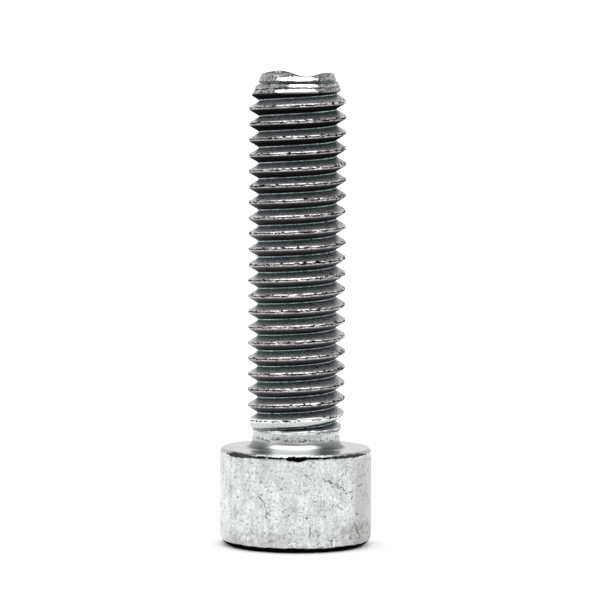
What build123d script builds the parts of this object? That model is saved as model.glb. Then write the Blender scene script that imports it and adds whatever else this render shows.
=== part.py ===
from build123d import *
from math import atan, cos, degrees, radians, tan
import os

# A hexagon-socket cap screw, M8 x 1.25 x 30: nominally 30 mm long under the head.
# It stands on its head: +Z runs along the axis to the thread's tip, and the origin is the
# centre of the head's end face, the face that the wrench socket opens in. Millimetres.

# Driving dimensions
PITCH = 1.25
CREST_DIA = 7.8
ROOT_DIA = 6.27
NECK_DIA = 7.05
HEAD_DIA = 12.2
HEAD_HEIGHT = 7.8
LENGTH = 30.25
SOCKET_FLATS = 6.05
SOCKET_DEPTH = 4.5

# Small features of the head
FOOT_RADIUS = 0.95
RIM_CHAMFER = 0.22
MOUTH_CHAMFER = 0.4
DRILL_POINT_ANGLE = 120

# The plain neck under the head, then a short cone that widens to the thread's crests
NECK_FILLET = 0.9
NECK_LENGTH = 1.3
NECK_RISE = 1.0

# The tip's taper, and the shallow cup that thread rolling leaves in its end
TIP_DIA = 5.7
TIP_TAPER = 2.5
CUP_DIA = 4.6
CUP_DEPTH = 0.25

# The thread's groove is a V with a narrow flat root. Its first full turn starts at angle 0,
# where the crests lie this many pitches, plus any whole number, above the head.
FLANK_ANGLE = 30
ROOT_FLAT = 0.18
GROOVE_MARGIN = 0.25
CREST_ABOVE_HEAD = 0.23
FIRST_TURN = 1
RUN_OUT_TURNS = 0.75

HEAD_R = HEAD_DIA / 2
NECK_R = NECK_DIA / 2
CREST_R = CREST_DIA / 2
ROOT_R = ROOT_DIA / 2
TIP_Z = HEAD_HEIGHT + LENGTH
WASTE_Z = TIP_Z + 2 * PITCH
UPWARD = (Align.CENTER, Align.CENTER, Align.MIN)


def blank():
    """The headed blank turned about Z, with spare length past the tip."""
    neck_top = HEAD_HEIGHT + NECK_LENGTH
    with BuildPart() as turned:
        with BuildSketch(Plane.XZ):
            with BuildLine():
                Line((0, 0), (HEAD_R - FOOT_RADIUS, 0))
                RadiusArc((HEAD_R - FOOT_RADIUS, 0), (HEAD_R, FOOT_RADIUS), -FOOT_RADIUS)
                Polyline(
                    (HEAD_R, FOOT_RADIUS),
                    (HEAD_R, HEAD_HEIGHT - RIM_CHAMFER),
                    (HEAD_R - RIM_CHAMFER, HEAD_HEIGHT),
                    (NECK_R + NECK_FILLET, HEAD_HEIGHT),
                )
                RadiusArc(
                    (NECK_R + NECK_FILLET, HEAD_HEIGHT),
                    (NECK_R, HEAD_HEIGHT + NECK_FILLET),
                    NECK_FILLET,
                )
                Polyline(
                    (NECK_R, HEAD_HEIGHT + NECK_FILLET),
                    (NECK_R, neck_top),
                    (CREST_R, neck_top + NECK_RISE),
                    (CREST_R, WASTE_Z),
                    (0, WASTE_Z),
                    (0, 0),
                )
            make_face()
        revolve(axis=Axis.Z)
    return turned.part


def groove_section():
    """The groove's section at angle 0, its root at height 0, opening outwards past the crest."""
    outer_r = CREST_R + GROOVE_MARGIN
    root_half = ROOT_FLAT / 2
    outer_half = root_half + (outer_r - ROOT_R) * tan(radians(FLANK_ANGLE))
    with BuildSketch(Plane.XZ) as section:
        with BuildLine():
            Polyline(
                (ROOT_R, -root_half),
                (outer_r, -outer_half),
                (outer_r, outer_half),
                (ROOT_R, root_half),
                close=True,
            )
        make_face()
    return section.sketch


def thread_grooves():
    """The right-hand groove up past the tip, and its run-out that climbs out into the neck."""
    start_z = HEAD_HEIGHT + (FIRST_TURN + CREST_ABOVE_HEAD + 0.5) * PITCH
    run_out = RUN_OUT_TURNS * PITCH
    cone = atan((CREST_R + GROOVE_MARGIN - ROOT_R) / run_out)
    main_path = Helix(PITCH, TIP_Z + PITCH - start_z, ROOT_R)
    run_out_path = Rot(0, 0, 180) * Helix(
        PITCH / cos(cone), run_out, ROOT_R, direction=(0, 0, -1), cone_angle=degrees(cone)
    )
    section = groove_section()
    return [
        Pos(0, 0, start_z) * sweep(section, path=path, is_frenet=True)
        for path in (main_path, run_out_path)
    ]


def tip_waste():
    """What is cut from the threaded blank to leave its tapered, cupped tip."""
    clear_r = CREST_R + GROOVE_MARGIN
    clear_z = TIP_Z - TIP_TAPER * (clear_r - TIP_DIA / 2) / (CREST_R - TIP_DIA / 2)
    with BuildPart() as waste:
        with BuildSketch(Plane.XZ):
            with BuildLine():
                Polyline(
                    (0, TIP_Z - CUP_DEPTH),
                    (CUP_DIA / 2, TIP_Z),
                    (TIP_DIA / 2, TIP_Z),
                    (clear_r, clear_z),
                    (clear_r, WASTE_Z),
                    (0, WASTE_Z),
                    close=True,
                )
            make_face()
        revolve(axis=Axis.Z)
    return waste.part


def wrench_socket():
    """The hexagon socket with its chamfered mouth and the drill point under it."""
    flats_r = SOCKET_FLATS / 2
    corners_r = flats_r / cos(radians(30))
    mouth_r = corners_r + MOUTH_CHAMFER / 2
    with BuildPart() as socket:
        with BuildSketch():
            RegularPolygon(radius=flats_r, side_count=6, major_radius=False)
        extrude(amount=SOCKET_DEPTH)
        with Locations((0, 0, SOCKET_DEPTH)):
            Cone(flats_r, 0, flats_r / tan(radians(DRILL_POINT_ANGLE / 2)), align=UPWARD)
        Cone(mouth_r, mouth_r - 2 * MOUTH_CHAMFER, 2 * MOUTH_CHAMFER, align=UPWARD)
    return socket.part


def cap_screw():
    """The finished screw, one piece of steel."""
    screw = blank()
    for waste in (*thread_grooves(), tip_waste(), wrench_socket()):
        screw = screw - waste
    return screw


os.makedirs("parts", exist_ok=True)
export_step(cap_screw(), "parts/cap_screw.step")
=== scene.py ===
import math

import bpy
import numpy as np
from mathutils import Euler, Matrix, Vector

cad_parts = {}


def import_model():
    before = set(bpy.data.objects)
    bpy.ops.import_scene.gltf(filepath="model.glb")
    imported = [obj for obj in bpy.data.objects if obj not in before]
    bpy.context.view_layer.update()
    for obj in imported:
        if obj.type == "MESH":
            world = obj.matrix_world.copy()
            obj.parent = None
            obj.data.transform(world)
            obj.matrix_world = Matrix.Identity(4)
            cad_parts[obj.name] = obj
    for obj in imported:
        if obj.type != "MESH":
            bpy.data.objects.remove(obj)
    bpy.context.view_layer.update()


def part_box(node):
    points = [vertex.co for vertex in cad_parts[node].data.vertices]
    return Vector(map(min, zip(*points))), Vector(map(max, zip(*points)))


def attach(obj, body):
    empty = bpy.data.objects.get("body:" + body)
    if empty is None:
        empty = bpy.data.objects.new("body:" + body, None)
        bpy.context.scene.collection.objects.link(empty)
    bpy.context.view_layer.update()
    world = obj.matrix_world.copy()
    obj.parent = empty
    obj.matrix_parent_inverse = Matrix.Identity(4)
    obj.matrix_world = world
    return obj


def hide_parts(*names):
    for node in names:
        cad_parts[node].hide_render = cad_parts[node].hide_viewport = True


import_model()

# A hexagon-socket cap screw, M8 x 1.25 x 30, that stands on its head.
# Sizes are in millimetres. The head's radius and the tip's height come from the frame.
NODE = "cap_screw"
MM = 0.001
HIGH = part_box(NODE)[1]

# Head
HEAD_R = min(HIGH.x, HIGH.y) / MM
HEAD_HEIGHT = 7.8
FOOT_RADIUS = 0.95
RIM_CHAMFER = 0.22
NICK_ANGLE = 271.5
NICK_WIDTH = 4.0

# Wrench socket
FLAT_R = 3.025
SOCKET_DEPTH = 4.5
MOUTH_CHAMFER = 0.4

# Neck, and the painted dark reflection, a ragged line, above its fillet
NECK_R = 3.52
NECK_FILLET = 0.7
FILLET_REFLECTION_Z = 8.7

# Thread: the first groove starts as a slit at FIRST_GROOVE_Z, under the first lip
PITCH = 1.25
CREST_R = 3.9
ROOT_R = 3.1
FLANK_SLOPE = 1 / math.tan(math.radians(30))
CREST_ABOVE_HEAD = 0.23
FIRST_GROOVE_Z = 9.1
FIRST_LIP_Z = 9.2
FIRST_LIP_RISE = 0.15
FIRST_LIP_LENGTH = 0.25
FULL_THREAD_Z = 11.2

# Tip: a cone above CONE_Z, where the turns level out and close up below a wavy rim
TIP_Z = HIGH.z / MM
RIM_Z = TIP_Z - 0.25
TIP_R = 2.87
TIP_TAPER = 2.25
CONE_Z = RIM_Z - 1.5
LAST_GROOVE_Z = RIM_Z - 0.4
FOLDED_DEPTH = 0.32
SEAM_SHIFT = 0.15
LEVELLING = 0.2
TIP_LIP = 0.16
CUP_DEPTH = 0.6

# Waves of the rim: centre and width in degrees round from +X, and height
RIM_WAVES = [(-124, 30, 0.24), (-77, 21, -0.27), (-25, 30, 0.08), (85, 40, -0.36)]

# The mesh: columns round the axis, and rows across one thread pitch, close at the crest
COLUMNS = 180
HALF_ROWS = 9
ROW_CROWDING = 1.6
PHI = np.arange(COLUMNS) * 2 * math.pi / COLUMNS

# Marks on the surface and painted highlights: degrees round from the camera's side, and millimetres above
# the floor.
# Painted highlights, bright patches on the cone, are (sides, heights).
CONE_HIGHLIGHT_PATCHES = [((-32, 30), (37.22, 37.56)), ((-14, 30), (36.68, 36.99)), ((-31, 29), (36.2, 36.58))]
SCRATCHES = [
    [(-28, 4.4), (-24, 4.0), (-24, 3.7), (-22, 3.3), (-23, 3.0), (-21, 2.7)],
    [(21, 5.9), (28, 5.6), (36, 5.3), (40, 4.9)],
    [(30, 5.4), (34, 5.1)],
    [(40, 4.7), (48, 4.8)],
    [(38, 6.3), (37, 5.9)],
    [(38, 5.7), (39, 5.3)],
    [(33, 3.7), (38, 3.4)],
    [(46, 4.1), (48, 4.3)],
    [(54, 5.1), (60, 5.2)],
    [(50, 2.2), (53, 1.6), (58, 1.0)],
    [(63, 2.3), (59, 1.7)],
    [(11, 2.2), (11, 1.5)],
]
DENTS = [(14, 4.1), (21, 4.1), (8, 2.8), (40, 2.5), (-5, 3.1), (-38, 4.9), (-30, 6.4), (-9, 1.3), (-49, 4.2)]

# Colours across one pitch, with painted shade and highlights: a bright root line, near-black on the
# down-facing flank and on the upper flank just under each root line, bright lips on the crest; 0 in the
# root, 0.5 on the crest and 1 in the next root up
THREAD_SHADE_AND_HIGHLIGHTS = [
    (0.0, (0.74, 0.80, 0.82)), (0.022, (0.70, 0.76, 0.78)), (0.045, (0.02, 0.02, 0.02)),
    (0.25, (0.05, 0.05, 0.05)), (0.35, (0.18, 0.18, 0.18)), (0.44, (0.55, 0.55, 0.54)),
    (0.52, (0.64, 0.64, 0.63)), (0.57, (0.82, 0.82, 0.81)), (0.66, (0.86, 0.88, 0.87)),
    (0.78, (0.73, 0.80, 0.81)), (0.87, (0.48, 0.57, 0.585)), (0.94, (0.13, 0.165, 0.175)),
    (0.975, (0.22, 0.26, 0.27)), (0.985, (0.70, 0.77, 0.79)),
]


# ---- Shape -------------------------------------------------------------------------------

def smooth_step(x):
    x = np.clip(x, 0, 1)
    return x * x * (3 - 2 * x)


def smooth_min(a, b, k):
    """The lower of two values, with the corner rounded over a width of k."""
    h = np.clip(0.5 + 0.5 * (b - a) / k, 0, 1)
    return b + (a - b) * h - k * h * (1 - h)


def smooth_max(a, b, k):
    return -smooth_min(-a, -b, k)


def degrees_off(phi, centre):
    """Degrees from a centre to each angle, from -180 to 180."""
    return (np.degrees(phi) - centre + 180) % 360 - 180


def noise(u, v, seed, wrap=64):
    """Smooth noise from -1 to 1 over a lattice of unit cells that repeats every wrap cells."""
    cells = np.random.default_rng(seed).uniform(-1, 1, (wrap, wrap))
    u, v = np.broadcast_arrays(u, v)
    iu, iv = np.floor(u).astype(int), np.floor(v).astype(int)
    fu, fv = smooth_step(u - iu), smooth_step(v - iv)

    def at(i, j):
        return cells[i % wrap, j % wrap]

    low = at(iu, iv) * (1 - fu) + at(iu + 1, iv) * fu
    high = at(iu, iv + 1) * (1 - fu) + at(iu + 1, iv + 1) * fu
    return low * (1 - fv) + high * fv


def ring_noise(phi, v, cells, seed):
    """Noise that closes on itself round the axis."""
    return noise(phi / (2 * math.pi) * cells, v, seed, wrap=cells)


def rim_height(phi):
    """The wavy edge of the tip: a hump, a dip in front, a low back and small waves elsewhere."""
    height = RIM_Z + 0.025 * ring_noise(phi, 0.5, 14, 3)
    for centre, width, rise in RIM_WAVES:
        height = height + rise * np.exp(-((degrees_off(phi, centre) / width) ** 2))
    return np.minimum(height, TIP_Z - 0.005)


def envelope(z):
    """The surface that the crests reach: neck, full thread and the tapered tip."""
    lip_top = FIRST_LIP_Z + FIRST_LIP_LENGTH
    lip = FIRST_LIP_RISE * smooth_step((z - FIRST_LIP_Z) / FIRST_LIP_LENGTH)
    rise = smooth_step((z - lip_top) / (FULL_THREAD_Z - lip_top))
    body = NECK_R + lip + (CREST_R - NECK_R - FIRST_LIP_RISE) * rise
    taper = TIP_R + (CREST_R - TIP_R) * (RIM_Z - z) / TIP_TAPER
    return smooth_min(body, taper, 0.12)


def levelling(phi, z):
    """Height to add to a place on the cone, where the last turns run level instead of climbing."""
    return LEVELLING * (np.sin(phi + math.pi / 2) + 0.3) * smooth_step((z - CONE_Z + 0.1) / 0.8)


def shank(phi, z):
    """Radius of the threaded shank, and how near each point is to a crest."""
    turn = (z + levelling(phi, z) - HEAD_HEIGHT) / PITCH - CREST_ABOVE_HEAD - phi / (2 * math.pi)
    crest = np.round(turn)
    above_crest = (turn - crest) * PITCH
    along = (phi + 2 * math.pi * crest) * CREST_R
    to_root = PITCH / 2 - np.abs(above_crest)
    root_z = z + np.sign(above_crest) * to_root
    outer = envelope(z)

    # the first groove starts as a narrow slit, and the last closes to a seam on the cone
    formed = smooth_step((root_z - FIRST_GROOVE_Z) / 0.75)
    narrow = 2.2 * (1 - smooth_step((root_z - FIRST_GROOVE_Z - 0.35) / 0.45))
    folded = smooth_step((root_z - CONE_Z) / 0.5)
    closed = smooth_step((LAST_GROOVE_Z - root_z) / 0.4)
    root = np.minimum(ROOT_R, outer - FOLDED_DEPTH * folded)
    root = outer - (outer - root) * formed * closed
    slope = FLANK_SLOPE * (1 + 1.4 * folded + narrow)
    flat = 0.05 - 0.02 * folded
    flank = root + smooth_max(to_root - flat, 0 * to_root, 0.05) * slope
    ragged = 0.02 * noise(along / 0.9, 0.5, 11)
    r = smooth_min(flank, outer + ragged, 0.09)

    # the rolled crest's two lips meet in a seam
    on_cone = smooth_step((z - CONE_Z + 0.5) / 0.5)
    depth = np.clip(0.05 + 0.06 * noise(along / 0.45, 3.5, 12), 0, 0.11)
    width = 0.035 + 0.025 * on_cone
    seam = np.exp(-(((above_crest - SEAM_SHIFT * on_cone) / width) ** 2))
    r = r - depth * seam * smooth_step((z - FULL_THREAD_Z + 0.4) / 0.4)
    return r, np.clip(1 - (outer - r) / 0.16, 0, 1)


def thread_rows():
    """Heights across one pitch, from a root to the next root, crowded at the crest."""
    half = PITCH / 2 * (np.arange(1, HALF_ROWS + 1) / HALF_ROWS) ** ROW_CROWDING
    return np.concatenate([-half[::-1], [0], half[:-1]])


class Skin:
    """Vertices and faces of one closed mesh, built ring by ring."""

    def __init__(self):
        self.points = []
        self.faces = []
        self.count = 0

    def add(self, r, phi, z):
        pts = np.stack([r * np.cos(phi), r * np.sin(phi), z], axis=-1).reshape(-1, 3)
        self.points.append(pts)
        start = self.count
        self.count += len(pts)
        return np.arange(start, self.count)

    def add_ring(self, r, z):
        return self.add(r * np.ones(COLUMNS), PHI, z * np.ones(COLUMNS))

    def quads(self, a, b, c, d):
        self.faces.append(np.stack([a, b, c, d], axis=-1).reshape(-1, 4))

    def bridge(self, low, high):
        self.quads(low, np.roll(low, -1), np.roll(high, -1), high)

    def close(self, ring, z, facing_down=False):
        """A fan from a ring to a point on the axis."""
        centre = self.add(np.zeros(1), np.zeros(1), np.full(1, z))[0]
        middle = np.full(len(ring), centre)
        following = np.roll(ring, -1)
        if facing_down:
            self.quads(following, ring, middle, middle)
        else:
            self.quads(ring, following, middle, middle)


def thread_strip(skin, z_low, z_high):
    """The helical rows of the shank between two rings, whose vertices it returns."""
    rows = thread_rows()
    per_turn = len(rows)
    first = math.floor((z_low.min() - HEAD_HEIGHT) / PITCH) - 2
    last = math.ceil((z_high.max() - HEAD_HEIGHT) / PITCH) + 1
    turns = np.arange(first, last)
    heights = (HEAD_HEIGHT + (CREST_ABOVE_HEAD + turns[:, None]) * PITCH + rows).ravel()
    z = heights[None, :] + (PHI / (2 * math.pi) * PITCH)[:, None]
    phi = np.repeat(PHI[:, None], z.shape[1], axis=1)
    z = z - levelling(phi, z - levelling(phi, z))
    margin = 0.012
    below = z < z_low[:, None] + margin
    above = z > z_high[:, None] - margin
    r, _ = shank(phi, z)
    low_ring = skin.add(shank(PHI, z_low)[0], PHI, z_low)
    high_ring = skin.add(shank(PHI, z_high)[0], PHI, z_high)

    # rows outside the two rings fold onto them
    index = np.empty(z.shape, int)
    index[below] = np.repeat(low_ring[:, None], z.shape[1], axis=1)[below]
    index[above] = np.repeat(high_ring[:, None], z.shape[1], axis=1)[above]
    inside = ~(below | above)
    index[inside] = skin.add(r[inside], phi[inside], z[inside])

    # one turn on, the first column's rows continue the last column's
    wrapped = np.vstack([index, np.concatenate([index[0, per_turn:], np.full(per_turn, -1)])])
    a, b = wrapped[:-1, :-1], wrapped[1:, :-1]
    c, d = wrapped[1:, 1:], wrapped[:-1, 1:]
    whole = (b >= 0) & (c >= 0)
    skin.quads(a[whole], b[whole], c[whole], d[whole])
    return low_ring, high_ring


def tip_end(skin, ring, z_edge):
    """The rounded lip and the shallow cup that close the tip."""
    r_edge = shank(PHI, z_edge)[0]
    lip_profile = [(0.02, 0.45), (0.07, 0.8), (0.16, 1.0), (0.3, 0.95), (0.45, 0.6)]
    for inward, up in lip_profile:
        r_last, last_z = r_edge - inward, z_edge + TIP_LIP * up
        new = skin.add(r_last, PHI, last_z)
        skin.bridge(ring, new)
        ring = new
    floor_z = RIM_Z - CUP_DEPTH
    for share in (0.8, 0.6, 0.4, 0.2, 0.08):
        r = r_last * share
        bumps = 0.05 * ring_noise(PHI, r * 1.5, 24, 21)
        z = floor_z + (last_z - floor_z) * share ** 4 + bumps * share
        new = skin.add(r, PHI, z)
        skin.bridge(ring, new)
        ring = new
    skin.close(ring, floor_z)


def quarter_turn(steps, start=0):
    """Angles from 0 to 90 degrees, in radians, by even steps."""
    return [math.pi / 2 * i / steps for i in range(start, steps + 1)]


def head_profile():
    """Radius and height of the head's rings, from the neck's fillet down to the socket's mouth."""
    for a in quarter_turn(8):
        yield NECK_R + NECK_FILLET * (1 - math.cos(a)), HEAD_HEIGHT + NECK_FILLET * (1 - math.sin(a))
    toe_r = NECK_R + NECK_FILLET
    for share in (0.35, 0.7, 0.9, 1.0):
        yield toe_r + (HEAD_R - RIM_CHAMFER - toe_r) * share, HEAD_HEIGHT

    # the rim's uneven chamfer, with one nick
    nick = np.exp(-((degrees_off(PHI, NICK_ANGLE) / NICK_WIDTH) ** 2))
    drop = RIM_CHAMFER * (1 + 0.25 * ring_noise(PHI, 0.5, 60, 31)) + 0.1 * nick
    side_top = HEAD_HEIGHT - drop - 0.05
    yield HEAD_R - RIM_CHAMFER * 0.15 - 0.08 * nick, HEAD_HEIGHT - drop * 0.8
    yield HEAD_R, side_top

    side_rows = 34
    for i in range(1, side_rows + 1):
        yield HEAD_R, side_top + (FOOT_RADIUS - side_top) * i / side_rows
    for a in quarter_turn(10, start=1):
        yield HEAD_R - FOOT_RADIUS * (1 - math.cos(a)), FOOT_RADIUS * (1 - math.sin(a))


def socket_profile():
    """Radius and height of the wrench socket's rings, from the end face up to the drill point."""
    mouth_r = FLAT_R / math.cos(math.radians(30)) + MOUTH_CHAMFER / 2
    face_r = HEAD_R - FOOT_RADIUS
    for share in (0.5, 1.0):
        yield face_r + (mouth_r - face_r) * share, 0.0
    hexagon = FLAT_R / np.cos((PHI % (math.pi / 3)) - math.pi / 6)
    mouth_z = mouth_r - hexagon
    yield hexagon, mouth_z
    for share in (0.33, 0.66, 1.0):
        yield hexagon, mouth_z * (1 - share) + SOCKET_DEPTH * share
    yield np.minimum(hexagon, FLAT_R * 0.995), SOCKET_DEPTH
    for share in (0.66, 0.33, 0.08):
        yield FLAT_R * share, SOCKET_DEPTH + drill_point() * (1 - share)


def drill_point():
    """Height of the 120 degree cone at the socket's end."""
    return FLAT_R / math.tan(math.radians(60))


def head(skin, ring):
    """From the neck's ring down over the head and up inside the wrench socket."""
    for profile in (head_profile(), socket_profile()):
        for r, z in profile:
            new = skin.add_ring(r, z)
            skin.bridge(new, ring)
            ring = new
    skin.close(ring, SOCKET_DEPTH + drill_point(), facing_down=True)


def paint(mesh, name, values):
    """A number for each vertex, for the material to read."""
    layer = mesh.attributes.new(name, "FLOAT", "POINT")
    layer.data.foreach_set("value", values.astype(np.float32))


def paint_crests(mesh, points):
    """Where the crests are, and which of them are the bare first and last ones."""
    x, y, z = points.T
    r = np.hypot(x, y)
    crest = shank(np.arctan2(y, x) % (2 * math.pi), z)[1] * (z > FIRST_LIP_Z)
    paint(mesh, "crest", crest)
    paint(mesh, "bare_neck", crest * (1 - smooth_step((z - FULL_THREAD_Z + 0.6) / 0.4)))
    end_face = (z > RIM_Z - 1.0) & (r < envelope(z) - 0.5)
    paint(mesh, "bare_cone", np.maximum(crest * smooth_step((z - CONE_Z + 0.3) / 0.3), end_face))


def build_screw():
    skin = Skin()
    z_low = np.full(COLUMNS, HEAD_HEIGHT + NECK_FILLET + 0.06)
    z_high = rim_height(PHI) - TIP_LIP
    low_ring, high_ring = thread_strip(skin, z_low, z_high)
    tip_end(skin, high_ring, z_high)
    head(skin, low_ring)
    points = np.concatenate(skin.points)
    faces = []
    for quad in np.concatenate(skin.faces).tolist():
        corners = [v for i, v in enumerate(quad) if v != quad[i - 1]]
        if len(set(corners)) == len(corners) > 2:
            faces.append(corners)
    mesh = bpy.data.meshes.new("screw")
    mesh.from_pydata((points * MM).tolist(), [], faces)
    mesh.validate()
    mesh.polygons.foreach_set("use_smooth", np.ones(len(mesh.polygons), bool))
    mesh.set_sharp_from_angle(angle=math.radians(40))
    paint_crests(mesh, points)
    screw = bpy.data.objects.new("screw", mesh)
    bpy.context.scene.collection.objects.link(screw)
    return screw


# ---- Shader nodes ------------------------------------------------------------------------

def set_or_link(tree, socket, value):
    """Give a socket a number, a colour, a vector or another node's output."""
    if isinstance(value, bpy.types.NodeSocket):
        tree.links.new(value, socket)
    elif isinstance(value, tuple) and len(socket.default_value) == 4:
        socket.default_value = (*value, 1)
    else:
        socket.default_value = value


def maths(tree, operation, *values):
    node = tree.nodes.new("ShaderNodeMath")
    node.operation = operation
    for socket, value in zip(node.inputs, values):
        set_or_link(tree, socket, value)
    return node.outputs[0]


def product(tree, first, *others):
    for value in others:
        first = maths(tree, "MULTIPLY", first, value)
    return first


def total(tree, first, *others):
    for value in others:
        first = maths(tree, "ADD", first, value)
    return first


def gap(tree, value, centre):
    """How far a value is from a centre, on either side."""
    return maths(tree, "ABSOLUTE", maths(tree, "SUBTRACT", value, centre))


def hypotenuse(tree, x, y):
    return maths(tree, "SQRT", total(tree, product(tree, x, x), product(tree, y, y)))


def vector_maths(tree, operation, first, second=None, output="Vector"):
    node = tree.nodes.new("ShaderNodeVectorMath")
    node.operation = operation
    set_or_link(tree, node.inputs[0], first)
    if second is not None:
        set_or_link(tree, node.inputs["Scale" if operation == "SCALE" else 1], second)
    return node.outputs[output]


def ease(tree, value, low, high, start=0.0, end=1.0):
    """From start to end as the value goes from low to high, with soft ends."""
    node = tree.nodes.new("ShaderNodeMapRange")
    node.interpolation_type = "SMOOTHSTEP"
    for name, number in zip(("From Min", "From Max", "To Min", "To Max"), (low, high, start, end)):
        node.inputs[name].default_value = number
    tree.links.new(value, node.inputs["Value"])
    return node.outputs["Result"]


def ramp(tree, value, stops, interpolation="EASE"):
    """A grey, or a colour, that follows a value from 0 to 1 through the stops."""
    node = tree.nodes.new("ShaderNodeValToRGB")
    node.color_ramp.interpolation = interpolation
    elements = node.color_ramp.elements
    while len(elements) < len(stops):
        elements.new(0.5)
    for element, (position, colour) in zip(elements, stops):
        element.position = position
        element.color = (*colour, 1) if isinstance(colour, tuple) else (colour, colour, colour, 1)
    tree.links.new(value, node.inputs["Fac"])
    return node.outputs["Color"]


def blend_colour(tree, share, first, second):
    """The first colour at share 0, and the second at share 1."""
    node = tree.nodes.new("ShaderNodeMix")
    node.data_type = "RGBA"
    for slot, value in ((0, share), (6, first), (7, second)):
        set_or_link(tree, node.inputs[slot], value)
    return node.outputs[2]


def blend_number(tree, share, first, second):
    node = tree.nodes.new("ShaderNodeMix")
    for slot, value in ((0, share), (2, first), (3, second)):
        set_or_link(tree, node.inputs[slot], value)
    return node.outputs[0]


def scale_colour(tree, colour, factor):
    node = tree.nodes.new("ShaderNodeMix")
    node.data_type = "RGBA"
    node.blend_type = "MULTIPLY"
    for slot, value in ((0, 1.0), (6, colour), (7, factor)):
        set_or_link(tree, node.inputs[slot], value)
    return node.outputs[2]


def attribute(tree, name):
    node = tree.nodes.new("ShaderNodeAttribute")
    node.attribute_name = name
    return node.outputs["Fac"]


def grain(tree, place, scale, detail=2.0, stretch=(1, 1, 1)):
    """Noise from 0 to 1; scale is in features per millimetre."""
    mapping = tree.nodes.new("ShaderNodeMapping")
    mapping.inputs["Scale"].default_value = stretch
    tree.links.new(place, mapping.inputs["Vector"])
    node = tree.nodes.new("ShaderNodeTexNoise")
    node.inputs["Scale"].default_value = scale
    node.inputs["Detail"].default_value = detail
    node.inputs["Roughness"].default_value = 0.6
    tree.links.new(mapping.outputs[0], node.inputs["Vector"])
    return node.outputs["Fac"]


def coordinates(tree, kind, scale=1.0):
    """Texture coordinates of a kind, whole and split."""
    place = tree.nodes.new("ShaderNodeTexCoord").outputs[kind]
    place = vector_maths(tree, "SCALE", place, scale)
    split = tree.nodes.new("ShaderNodeSeparateXYZ")
    tree.links.new(place, split.inputs[0])
    return place, split.outputs


# ---- Zinc plate --------------------------------------------------------------------------

def across_thread(tree, x, y, z):
    """Place across one pitch: 0 in the root, 0.5 on the crest and 1 in the next root up."""
    angle = maths(tree, "ARCTAN2", y, x)
    sideways = total(tree, maths(tree, "COSINE", angle), 0.3)
    z = total(tree, z, product(tree, sideways, ease(tree, z, CONE_Z - 0.1, CONE_Z + 0.7, 0.0, LEVELLING)))
    turn = maths(tree, "MULTIPLY_ADD", z, 1 / PITCH, -HEAD_HEIGHT / PITCH - CREST_ABOVE_HEAD + 0.5)
    return maths(tree, "FRACT", maths(tree, "MULTIPLY_ADD", angle, -1 / (2 * math.pi), turn))


def thread_zone(tree, place, across, x, z):
    """Painted shade and highlight bands, black pits, a broken seam on each crest and painted shade on the
    lower flank: colour and black.
    """
    colour = ramp(tree, across, THREAD_SHADE_AND_HIGHLIGHTS, "LINEAR")
    fine = grain(tree, place, 6.0, 3.0, (1, 1, 2))
    colour = scale_colour(tree, colour, ease(tree, fine, 0.3, 0.7, 0.55, 1.35))

    dashes = grain(tree, place, 2.4, 3.0, (1, 1, 2.6))
    more_at_right = ease(tree, x, -1.0, 3.5, 0.0, 0.03)
    more_on_crest = ease(tree, gap(tree, across, 0.52), 0.05, 0.2, 0.09, 0.0)
    level = total(tree, dashes, more_on_crest, more_at_right)
    above_lower_flank = ease(tree, across, 0.40, 0.46)
    below_cone = ease(tree, z, CONE_Z, CONE_Z + 0.3, 1.0, 0.0)
    pits = product(tree, ease(tree, level, 0.63, 0.67), above_lower_flank, below_cone)

    seam_at = ease(tree, z, CONE_Z - 0.5, CONE_Z, 0.515, 0.515 + SEAM_SHIFT / PITCH)
    wander = ease(tree, grain(tree, place, 3.5, 2.0), 0.25, 0.75, -0.03, 0.03)
    off_seam = gap(tree, total(tree, across, wander), seam_at)
    broken = ease(tree, grain(tree, place, 1.5, 3.0, (1, 1, 1.4)), 0.40, 0.47)
    seam = product(tree, ease(tree, off_seam, 0.018, 0.045, 1.0, 0.0), broken)

    # painted shade on the down-facing flank, darker toward the tip and none on the cone
    lower_flank = product(tree, ease(tree, across, 0.03, 0.055), ease(tree, across, 0.47, 0.36))
    darker_toward_tip = ease(tree, z, 20.0, 33.0, 0.35, 0.95)
    before_cone = ease(tree, z, CONE_Z - 0.1, CONE_Z + 0.3, 1.0, 0.0)
    shade = product(tree, lower_flank, darker_toward_tip, before_cone)
    return colour, maths(tree, "MAXIMUM", shade, maths(tree, "MAXIMUM", pits, seam))


def highlight_patch(tree, angle, z, sides, heights):
    """Below 1 inside a patch with blunt ends, and above 1 outside it."""
    middle, half = math.radians(sum(sides) / 2), math.radians(sides[1] - sides[0]) / 2
    level, tall = sum(heights) / 2, (heights[1] - heights[0]) / 2
    sideways = maths(tree, "ABSOLUTE", maths(tree, "MULTIPLY_ADD", angle, 1 / half, -middle / half))
    upward = maths(tree, "ABSOLUTE", maths(tree, "MULTIPLY_ADD", z, 1 / tall, -level / tall))
    return total(tree, maths(tree, "POWER", sideways, 4.0), maths(tree, "POWER", upward, 2.0))


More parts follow.
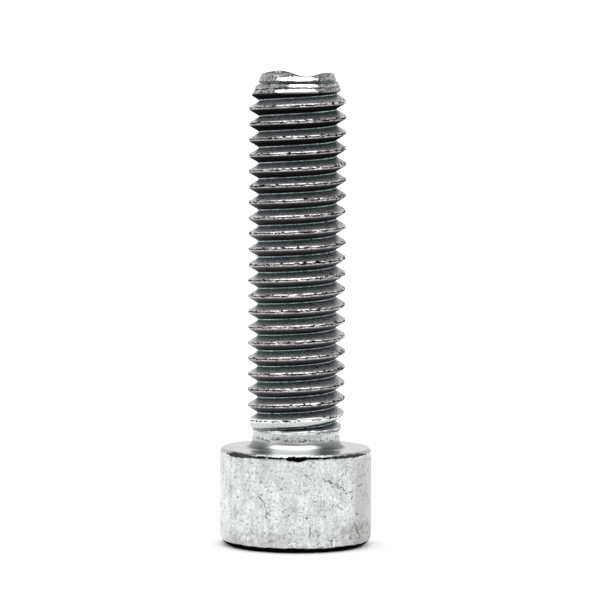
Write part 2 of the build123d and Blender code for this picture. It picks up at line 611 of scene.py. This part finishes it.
def cone_zone(tree, place, angle, radius, z, fine):
    """The tip: a worn end face, grainy grey sides, and painted shade on its front with painted highlights in
    bright patches.
    """
    # painted shade: the cone is darker on the camera's side
    front = ease(tree, maths(tree, "ABSOLUTE", angle), 0.4, 0.7, 0.12, 0.5)
    cone = scale_colour(tree, front, ease(tree, fine, 0.35, 0.65, 0.3, 1.5))
    ragged = ease(tree, grain(tree, place, 3.0, 3.0, (1, 1, 0.7)), 0.25, 0.75, -0.6, 0.6)
    # painted highlights: bright patches on the cone's front
    for sides, heights in CONE_HIGHLIGHT_PATCHES:
        reach = total(tree, highlight_patch(tree, angle, z, sides, heights), ragged)
        cone = blend_colour(tree, ease(tree, reach, 0.9, 1.15), (0.9, 0.9, 0.9), cone)
    end_face = scale_colour(tree, (0.55, 0.55, 0.54), ease(tree, fine, 0.3, 0.7, 0.6, 1.2))
    return blend_colour(tree, ease(tree, radius, TIP_R - 0.45, TIP_R - 0.3), end_face, cone)


def collar_zone(tree, place, angle, z):
    """The plain neck, its fillet with a painted highlight in front and painted shade at its sides, a painted
    dark reflection above the fillet, and the bearing face round it: colour and share of black.
    """
    cloud = grain(tree, place, 1.3, 3.0)
    fine = grain(tree, place, 7.0, 2.0)
    neck = scale_colour(tree, (0.56, 0.58, 0.58), ease(tree, fine, 0.3, 0.7, 0.7, 1.2))
    # painted highlight on the fillet's front and painted shade on its sides
    off_front = gap(tree, angle, -0.08)
    fillet = ramp(tree, off_front, [(0.35, (0.85, 0.86, 0.86)), (0.75, (0.25, 0.275, 0.275))])
    neck = blend_colour(tree, ease(tree, z, FILLET_REFLECTION_Z - 0.35, FILLET_REFLECTION_Z - 0.05), fillet, neck)
    face = scale_colour(tree, (0.73, 0.73, 0.73), ease(tree, cloud, 0.3, 0.7, 0.85, 1.05))
    on_face = ease(tree, z, HEAD_HEIGHT + 0.12, HEAD_HEIGHT + 0.03)

    # painted dark reflection of the threads: a ragged, broken line round the neck above the fillet
    uneven_z = total(tree, z, ease(tree, cloud, 0.25, 0.75, -0.12, 0.12))
    line = ease(tree, gap(tree, uneven_z, FILLET_REFLECTION_Z), 0.02, 0.16, 0.8, 0.0)
    broken = ease(tree, grain(tree, place, 4.5, 3.0, (1, 1, 1.6)), 0.47, 0.56)
    return blend_colour(tree, on_face, neck, face), product(tree, line, broken)


def unrolled(degrees, height):
    """A mark's place on the head's unrolled side, in millimetres."""
    return math.radians(degrees) * HEAD_R, height


def stroke_distance(tree, point, start, end):
    """Distance in millimetres from a point on the unrolled head to a straight stroke."""
    start, end = Vector((*start, 0)), Vector((*end, 0))
    along = end - start
    from_start = vector_maths(tree, "SUBTRACT", point, start)
    dot = vector_maths(tree, "DOT_PRODUCT", from_start, along, output="Value")
    share = maths(tree, "MULTIPLY", dot, 1 / along.length_squared)
    share.node.use_clamp = True
    nearest = vector_maths(tree, "SCALE", along, share)
    return vector_maths(tree, "LENGTH", vector_maths(tree, "SUBTRACT", from_start, nearest), output="Value")


def scratches(tree, place, angle, z):
    """Share of black from the scratches and dents, thin and a little ragged."""
    point = tree.nodes.new("ShaderNodeCombineXYZ")
    tree.links.new(maths(tree, "MULTIPLY", angle, HEAD_R), point.inputs[0])
    tree.links.new(z, point.inputs[1])
    wobble = tree.nodes.new("ShaderNodeTexNoise")
    wobble.inputs["Scale"].default_value = 3.0
    tree.links.new(place, wobble.inputs["Vector"])
    shift = vector_maths(tree, "SUBTRACT", wobble.outputs["Color"], Vector((0.5, 0.5, 0.5)))
    shift = vector_maths(tree, "MULTIPLY", shift, Vector((0.5, 0.5, 0.0)))
    point = vector_maths(tree, "ADD", point.outputs[0], shift)

    distances = []
    for line in SCRATCHES:
        for start, end in zip(line, line[1:]):
            distances.append(stroke_distance(tree, point, unrolled(*start), unrolled(*end)))
    for dent in DENTS:
        across, up = unrolled(*dent)
        distance = stroke_distance(tree, point, (across, up), (across + 0.05, up + 0.03))
        distances.append(maths(tree, "SUBTRACT", distance, 0.03))
    nearest = distances[0]
    for distance in distances[1:]:
        nearest = maths(tree, "MINIMUM", nearest, distance)
    return ease(tree, nearest, 0.015, 0.06, 0.85, 0.0)


def soft_patch(tree, angle, z, sides, heights, soft):
    """A soft-edged patch of the head: 1 inside the two ranges and 0 outside."""
    return product(
        tree,
        ease(tree, angle, sides[0] - soft, sides[0]),
        ease(tree, angle, sides[1] + soft, sides[1]),
        ease(tree, z, heights[0] - soft, heights[0]),
        ease(tree, z, heights[1] + soft, heights[1]),
    )


def head_zone(tree, place, angle, z):
    """The tumbled, scuffed side of the head, with painted shade toward its left and right edges and down its
    right side: colour and share of black.
    """
    cloud = grain(tree, place, 0.8, 4.0)
    streak = grain(tree, place, 3.0, 3.0, (1, 1, 0.12))
    fine = grain(tree, place, 6.0, 3.0)
    colour = scale_colour(tree, (0.84, 0.86, 0.865), ease(tree, cloud, 0.3, 0.7, 0.86, 1.10))
    # painted shade: the head darker toward its left and right edges
    colour = scale_colour(tree, colour, ease(tree, maths(tree, "ABSOLUTE", angle), 0.25, 0.9, 1.0, 0.84))
    colour = scale_colour(tree, colour, ease(tree, streak, 0.3, 0.7, 0.86, 1.08))
    colour = scale_colour(tree, colour, ease(tree, fine, 0.25, 0.65, 0.66, 1.10))

    smear = ease(tree, grain(tree, place, 2.2, 4.0), 0.35, 0.65, 0.0, 0.8)
    stains_and_side_shade = [
        (soft_patch(tree, angle, z, (-0.75, -0.3), (0.9, 1.3), 0.5), smear, (0.42, 0.40, 0.40)),
        # painted shade down the whole right side of the head; the other two patches are stains
        (soft_patch(tree, angle, z, (1.0, 1.8), (0.3, 7.2), 0.3), 0.75, (0.40, 0.40, 0.395)),
        (soft_patch(tree, angle, z, (0.8, 1.2), (1.2, 1.8), 0.6), smear, (0.34, 0.31, 0.29)),
    ]
    for patch, strength, tint in stains_and_side_shade:
        colour = blend_colour(tree, product(tree, patch, strength), colour, tint)

    # hairline cracks follow the middle level of a noise, here and there
    off_middle = gap(tree, grain(tree, place, 1.2, 4.0), 0.5)
    here = ease(tree, grain(tree, place, 0.9, 2.0, (1.3, 1.3, 1)), 0.52, 0.62)
    cracks = product(tree, ease(tree, off_middle, 0.002, 0.016, 0.6, 0.0), here)
    crowding = ease(tree, grain(tree, place, 0.5, 2.0), 0.35, 0.65, 0.01, 0.07)
    flaws = maths(tree, "SUBTRACT", grain(tree, place, 3.6, 3.0), crowding)
    specks = ease(tree, flaws, 0.29, 0.35, 0.7, 0.0)
    black = maths(tree, "MAXIMUM", cracks, specks)
    return colour, maths(tree, "MAXIMUM", black, scratches(tree, place, angle, z))


def rim_line(tree, place, angle, radius, z):
    """Share of black along the head's rim, painted shade in the chamfer: a ragged line, wide at left and at
    the nick, with open ends.
    """
    ragged = ease(tree, grain(tree, place, 3.0, 4.0, (1, 1, 0.6)), 0.25, 0.75, -0.06, 0.07)
    left = ease(tree, gap(tree, angle, -0.87), 0.1, 0.25, 0.1, 0.0)
    nick = ease(tree, gap(tree, angle, 0.01), 0.03, 0.17, 0.12, 0.0)
    right = ease(tree, angle, 0.35, 0.7, 0.0, 0.03)
    off_front = maths(tree, "ABSOLUTE", angle)
    ends = ease(tree, off_front, 1.0, 1.35, 0.0, -0.3)
    half_width = total(tree, left, right, nick, ends, ragged)
    below_face = maths(tree, "SUBTRACT", HEAD_HEIGHT, z)
    middle = maths(tree, "MULTIPLY_ADD", nick, 0.6, RIM_CHAMFER)
    past_line = maths(tree, "SUBTRACT", gap(tree, below_face, middle), half_width)
    return product(
        tree,
        ease(tree, past_line, 0.05, 0.12, 1.0, 0.0),
        ease(tree, radius, HEAD_R - 0.27, HEAD_R - 0.2),
        ease(tree, off_front, 0.3, 0.8, 1.0, 0.93),
    )


def foot_edge(tree, place, radius, z):
    """Share of black on the rounded foot, a painted contact shadow next to the surface that the screw stands
    on.
    """
    top = total(tree, z, ease(tree, grain(tree, place, 1.0, 3.0), 0.25, 0.75, -0.06, 0.06))
    return product(tree, ease(tree, top, 0.48, 0.40), ease(tree, radius, HEAD_R - 0.97, HEAD_R - 0.85))


def zinc():
    """Bright zinc plate with painted shade down in the grooves and painted highlights on the lips, scuffed
    and pitted on the head.
    """
    material = bpy.data.materials.new("bright_zinc_plate")
    material.use_nodes = True
    tree = material.node_tree
    shader = tree.nodes["Principled BSDF"]
    shader.inputs["Specular IOR Level"].default_value = 0.0
    place, (x, y, z) = coordinates(tree, "Object", 1 / MM)
    radius = hypotenuse(tree, x, y)
    angle = maths(tree, "ARCTAN2", x, maths(tree, "MULTIPLY", y, -1.0))
    fine = grain(tree, place, 6.0, 3.0)

    threads, thread_black = thread_zone(tree, place, across_thread(tree, x, y, z), x, z)
    cone = cone_zone(tree, place, angle, radius, z, fine)
    threads = blend_colour(tree, attribute(tree, "bare_cone"), threads, cone)
    threads = blend_colour(tree, attribute(tree, "bare_neck"), threads, (0.85, 0.86, 0.86))
    collar, collar_black = collar_zone(tree, place, angle, z)
    side, side_black = head_zone(tree, place, angle, z)
    rim, foot = rim_line(tree, place, angle, radius, z), foot_edge(tree, place, radius, z)

    above_neck = ease(tree, z, FIRST_LIP_Z - 0.04, FIRST_LIP_Z + 0.04)
    on_side = ease(tree, radius, HEAD_R - 0.25, HEAD_R - 0.2)

    colour = blend_colour(tree, above_neck, blend_colour(tree, on_side, collar, side), threads)
    lower_black = blend_number(tree, on_side, collar_black, side_black)
    black = blend_number(tree, above_neck, lower_black, thread_black)
    # the rim's painted shade and the foot's painted contact shadow
    black = maths(tree, "MAXIMUM", black, maths(tree, "MAXIMUM", rim, foot))
    tree.links.new(blend_colour(tree, black, colour, (0.002, 0.002, 0.002)), shader.inputs["Base Color"])
    tree.links.new(maths(tree, "SUBTRACT", 1.0, black), shader.inputs["Metallic"])

    smoothness = maths(tree, "SUBTRACT", attribute(tree, "crest"), ease(tree, fine, 0.3, 0.7, 0.0, 0.3))
    thread_rough = ease(tree, smoothness, 0.2, 0.9, 0.40, 0.26)
    side_rough = ease(tree, fine, 0.25, 0.75, 0.28, 0.44)
    face_rough = ease(tree, radius, NECK_R + 0.3, NECK_R + NECK_FILLET, 0.3, 0.14)
    rough = blend_number(tree, above_neck, blend_number(tree, on_side, face_rough, side_rough), thread_rough)
    tree.links.new(rough, shader.inputs["Roughness"])

    bump = tree.nodes.new("ShaderNodeBump")
    bump.inputs["Strength"].default_value = 0.4
    bump.inputs["Distance"].default_value = 0.00002
    tree.links.new(fine, bump.inputs["Height"])
    tree.links.new(bump.outputs[0], shader.inputs["Normal"])
    return material


# ---- Studio ------------------------------------------------------------------------------

def pale_floor():
    """A floor wide enough to reach past every view."""
    bpy.ops.mesh.primitive_circle_add(vertices=96, radius=4, fill_type="NGON", location=(0, 0, 0))
    floor = bpy.context.object
    floor.name = "floor"
    material = bpy.data.materials.new("floor")
    material.use_nodes = True
    shader = material.node_tree.nodes["Principled BSDF"]
    shader.inputs["Base Color"].default_value = (0.9, 0.9, 0.9, 1)
    shader.inputs["Roughness"].default_value = 1.0
    shader.inputs["Specular IOR Level"].default_value = 0.0
    floor.data.materials.append(material)


def black_flag():
    """A black card on the floor on the camera's side, seen only in the metal's reflections."""
    bpy.ops.mesh.primitive_plane_add(size=1, location=(0, 0, 0))
    card = bpy.context.object
    card.name = "black_flag"
    card.data.transform(Matrix.Translation((0, -1.0, 0.0005)) @ Matrix.Diagonal((6, 1.94, 1, 1)))
    for ray in ("camera", "diffuse", "transmission", "volume_scatter", "shadow"):
        setattr(card, "visible_" + ray, False)
    material = bpy.data.materials.new("black_flag")
    material.use_nodes = True
    tree = material.node_tree
    tree.nodes.clear()
    x, y, _ = coordinates(tree, "Object")[1]
    off_front = maths(tree, "ABSOLUTE", maths(tree, "ARCTAN2", x, maths(tree, "MULTIPLY", y, -1.0)))
    reach = hypotenuse(tree, x, y)
    in_front = ease(tree, off_front, 0.85, 1.45, 1.0, 0.0)
    cover = product(tree, ease(tree, reach, 0.03, 0.42, 0.0, 0.95), in_front)
    clear = tree.nodes.new("ShaderNodeBsdfTransparent")
    black = tree.nodes.new("ShaderNodeEmission")
    black.inputs["Strength"].default_value = 0.0
    connect_mix(tree, cover, clear, black, "ShaderNodeOutputMaterial")
    card.data.materials.append(material)


def connect_mix(tree, share, first, second, output_kind):
    """Mix two shaders into a material's or a world's surface."""
    mix = tree.nodes.new("ShaderNodeMixShader")
    tree.links.new(share, mix.inputs[0])
    tree.links.new(first.outputs[0], mix.inputs[1])
    tree.links.new(second.outputs[0], mix.inputs[2])
    tree.links.new(mix.outputs[0], tree.nodes.new(output_kind).inputs["Surface"])


def camera():
    """A long lens a little above the tip, tipped a little down and rolled a little."""
    data = bpy.data.cameras.new("camera")
    cam = bpy.data.objects.new("camera", data)
    bpy.context.scene.collection.objects.link(cam)
    bpy.context.scene.camera = cam
    data.sensor_width = 36
    data.lens = 225.3
    data.clip_start = 0.01
    data.clip_end = 20
    tilt, turn, roll = math.radians(4.354), math.radians(0.0504), math.radians(0.339)
    cam.location = (0, -0.3, 0.0425)
    aim = Euler((math.pi / 2 - tilt, 0, -turn)).to_matrix() @ Matrix.Rotation(roll, 3, "Z")
    cam.rotation_euler = aim.to_euler()


def toward(azimuth, elevation, distance):
    """A place seen from the screw: azimuth 0 is the camera's side, and positive is to the right."""
    a, e = math.radians(azimuth), math.radians(elevation)
    flat = distance * math.cos(e)
    return Vector((flat * math.sin(a), -flat * math.cos(a), distance * math.sin(e)))


def softbox(name, place, width, height, radiance, lights_floor=False):
    """An area lamp that faces the screw and either lights the floor or shows in the metal."""
    data = bpy.data.lights.new(name, "AREA")
    data.shape = "RECTANGLE"
    data.size = width
    data.size_y = height
    data.energy = radiance * math.pi * width * height
    lamp = bpy.data.objects.new(name, data)
    bpy.context.scene.collection.objects.link(lamp)
    lamp.location = place
    lamp.rotation_euler = (Vector((0, 0, 0.02)) - place).to_track_quat("-Z", "Y").to_euler()
    lamp.visible_glossy = not lights_floor
    lamp.visible_diffuse = lights_floor
    lamp.visible_camera = False


def world():
    """White to the camera; to everything else a room, darker on the camera's side and overhead."""
    studio = bpy.data.worlds.new("studio")
    bpy.context.scene.world = studio
    studio.use_nodes = True
    tree = studio.node_tree
    tree.nodes.clear()
    _, y, z = coordinates(tree, "Generated")[1]
    back = ramp(tree, z, [(0.0, 0.85), (0.3, 0.8), (0.65, 0.35), (0.95, 0.02)])
    front = ramp(tree, z, [(0.0, 0.16), (0.3, 0.12), (0.9, 0.02)])
    room = tree.nodes.new("ShaderNodeBackground")
    tree.links.new(blend_colour(tree, ease(tree, y, -0.75, -0.1), front, back), room.inputs["Color"])
    white = tree.nodes.new("ShaderNodeBackground")
    white.inputs["Color"].default_value = (1, 1, 1, 1)
    white.inputs["Strength"].default_value = 1.2
    to_camera = tree.nodes.new("ShaderNodeLightPath").outputs["Is Camera Ray"]
    connect_mix(tree, to_camera, room, white, "ShaderNodeOutputWorld")


screw = build_screw()
screw.data.materials.append(zinc())
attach(screw, "root")
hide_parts(NODE)
pale_floor()
black_flag()
camera()
world()
softbox("key", toward(-5, 62, 0.5), 1.1, 0.56, 1.75)
softbox("floor_fill", Vector((0, 0, 2.5)), 10.0, 10.0, 1.45, lights_floor=True)
bpy.context.scene.view_settings.view_transform = "Standard"
